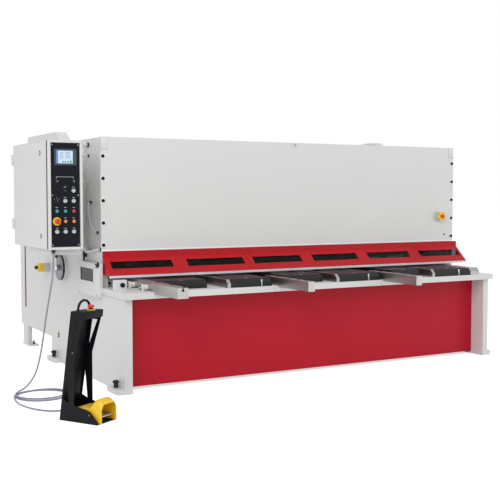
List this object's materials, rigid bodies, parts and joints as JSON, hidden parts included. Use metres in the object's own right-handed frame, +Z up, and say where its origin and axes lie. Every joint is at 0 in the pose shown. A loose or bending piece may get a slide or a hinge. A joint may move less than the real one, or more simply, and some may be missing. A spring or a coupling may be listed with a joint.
{
  "type": "hydraulic swing beam shear",
  "caption": "Fixed hydraulic sheet metal shear with a swinging blade beam, guarded table, support arms, control cabinet and pedal stand.",
  "frame": {"origin": "middle of the footprint of the machine and its pedal stand, on the floor", "axes": "+X along the blades from the cabinet side, +Y from the operator's side to the rear, +Z up"},
  "size_m": [4.206, 3.4278, 1.936],
  "materials": {
    "body_paint": "satin",
    "red_paint": "satin",
    "black_plate": "satin",
    "ground_steel": "ground",
    "tool_steel": "ground",
    "dark_pane": "gloss",
    "panel_dark": "matt",
    "screen_glass": "gloss",
    "black_plastic": "matt",
    "yellow_plastic": "satin",
    "mixed_controls": "satin",
    "bright_steel": "polished",
    "grey_cable": "satin",
    "pale_plastic": "satin",
    "gear_mixed": "satin"
  },
  "bodies": {
    "machine": {"beam_cylinders": "ground_steel", "bed_ribs": "body_paint", "cabinet_bracket": "body_paint", "cabinet_gear": "gear_mixed", "cabinet_shell": "body_paint", "cable_coil": "grey_cable", "cable_drop": "grey_cable", "cable_gland": "black_plastic", "cable_run": "grey_cable", "control_panel": "panel_dark", "finger_guard_left": "red_paint", "finger_guard_right": "red_paint", "front_hood": "body_paint", "front_skirt": "red_paint", "gap_dial": "panel_dark", "guard_strip": "pale_plastic", "guard_windows": "dark_pane", "hold_down_beam": "body_paint", "hood_hoses": "pale_plastic", "levelling_bolts": "black_plate", "lower_blade": "tool_steel", "oil_tank": "body_paint", "panel_buttons": "mixed_controls", "panel_screen": "screen_glass", "panel_stop_button": "mixed_controls", "panel_switches": "mixed_controls", "pedal_guard": "yellow_plastic", "plate_ends": "ground_steel", "rear_guard_left": "body_paint", "rear_guard_right": "body_paint", "sheet_slide": "red_paint", "side_cover": "body_paint", "side_cover_pane": "dark_pane", "side_frame_left": "body_paint", "side_frame_right": "body_paint", "slot_liners": "red_paint", "squaring_arm": "ground_steel", "squaring_bracket": "body_paint", "stand_handle": "black_plastic", "stand_stop_button": "mixed_controls", "stand_tower": "black_plate", "stop_station_hood": "yellow_plastic", "stop_station_left": "yellow_plastic", "support_arms": "ground_steel", "table_bed": "body_paint", "table_plates_long": "black_plate", "table_plates_short": "black_plate", "tank_shelf": "body_paint", "top_tie": "body_paint"},
    "swing_beam": {"swing_beam": "body_paint", "upper_blade": "tool_steel", "back_gauge": "body_paint"},
    "hold_downs": {"hold_down_pads": "black_plate"},
    "gap_lever": {"gap_lever": "bright_steel"},
    "cabinet_door": {"cabinet_door": "body_paint"},
    "foot_pedal": {"foot_pedal": "ground_steel"}
  },
  "joints": [
    {"name": "beam_swing", "type": "hinge", "parent": "machine", "child": "swing_beam", "pos_m": [0.28309, 0.39594, 0.811], "axis": [1, 0, 0], "range_deg": [0, 7]},
    {"name": "hold_down_slide", "type": "slide", "parent": "machine", "child": "hold_downs", "axis": [0, 0, -1], "range_m": [0, 0.013]},
    {"name": "gap_lever_turn", "type": "hinge", "parent": "machine", "child": "gap_lever", "pos_m": [-1.45691, 0.39594, 0.811], "axis": [1, 0, 0], "range_deg": [0, 110]},
    {"name": "cabinet_door_hinge", "type": "hinge", "parent": "machine", "child": "cabinet_door", "pos_m": [-1.85491, 0.30794, 1.14], "axis": [0, 0, -1], "range_deg": [0, 110]},
    {"name": "pedal_press", "type": "hinge", "parent": "machine", "child": "foot_pedal", "pos_m": [-1.85165, -1.59204, 0.045], "axis": [0.8526, 0.5225, 0], "range_deg": [0, 12], "stiffness_Nm_per_rad": 6, "springref_deg": -17.19}
  ]
}
